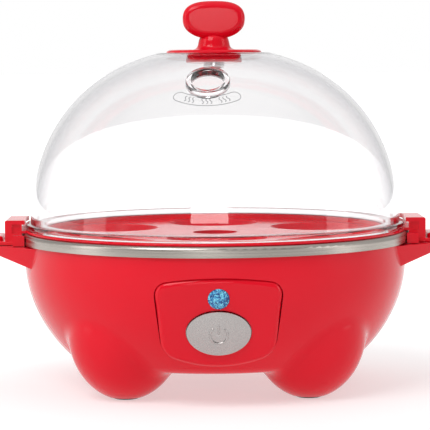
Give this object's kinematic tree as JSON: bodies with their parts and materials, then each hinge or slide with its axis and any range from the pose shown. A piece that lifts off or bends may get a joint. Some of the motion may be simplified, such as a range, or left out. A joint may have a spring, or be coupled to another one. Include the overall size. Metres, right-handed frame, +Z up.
{
  "type": "egg cooker",
  "caption": "Round electric egg cooker with a clear domed lid, lift-out egg tray, steel heating dish, push button and indicator lamp on a red footed base.",
  "frame": {"origin": "on the lid's axis at table level, below the middle of the object", "axes": "+Z up, the control panel faces -Y, +X along the line of the two side tabs"},
  "size_m": [0.185, 0.156, 0.155],
  "materials": {
    "red_plastic": "glossy moulded red",
    "clear_plastic": "clear moulded plastic",
    "brushed_steel": "brushed",
    "bright_steel": "bright zinc",
    "silicone": "translucent white silicone",
    "aluminium": "as cast",
    "black_plastic": "fine matt",
    "white_plastic": "fine matt",
    "satin_silver": "satin silver",
    "blue_lens": "faceted clear blue",
    "rubber": "matt"
  },
  "bodies": {
    "base": {"housing": "red_plastic", "heating_plate": "brushed_steel", "plate_gasket": "silicone", "heat_spreader": "aluminium", "heater_element": "bright_steel", "clamp_bar": "bright_steel", "clamp_spacer": "bright_steel", "clamp_screw": "bright_steel", "thermostat": "black_plastic", "thermal_fuse": "bright_steel", "fuse_strap": "bright_steel", "strap_screw": "bright_steel", "plate_screws": "bright_steel", "control_panel": "red_plastic", "indicator_lens": "blue_lens", "indicator_lamp": "white_plastic", "lamp_holder": "black_plastic", "button_spring": "bright_steel", "switch_bracket": "black_plastic", "bracket_screws": "bright_steel", "switch_body": "black_plastic", "bottom_cover": "red_plastic", "cover_screws": "bright_steel", "foot_pads": "rubber", "cord_gland": "black_plastic", "cord_clamp": "black_plastic", "cord_clamp_screws": "bright_steel", "terminal_block": "white_plastic", "wire_block_to_switch": "black_plastic", "wire_switch_to_thermostat": "black_plastic", "wire_thermostat_to_heater": "white_plastic", "wire_heater_to_fuse": "white_plastic", "wire_fuse_to_block": "white_plastic"},
    "egg_tray": {"egg_tray": "red_plastic"},
    "lid": {"lid_dome": "clear_plastic", "lid_knob": "red_plastic", "knob_washer": "red_plastic", "knob_screw": "bright_steel"},
    "power_button": {"button_cap": "satin_silver", "button_stem": "white_plastic"}
  },
  "joints": [
    {"name": "tray_lift", "type": "slide", "parent": "base", "child": "egg_tray", "axis": [0, 0, 1], "range_m": [0, 0.08]},
    {"name": "lid_lift", "type": "slide", "parent": "egg_tray", "child": "lid", "axis": [0, 0, 1], "range_m": [0, 0.12]},
    {"name": "button_press", "type": "slide", "parent": "base", "child": "power_button", "axis": [0, 0.9659, 0.2588], "range_m": [0, 0.0025], "stiffness_N_per_m": 400, "springref_m": -0.002, "deforming": ["button_spring"]}
  ]
}
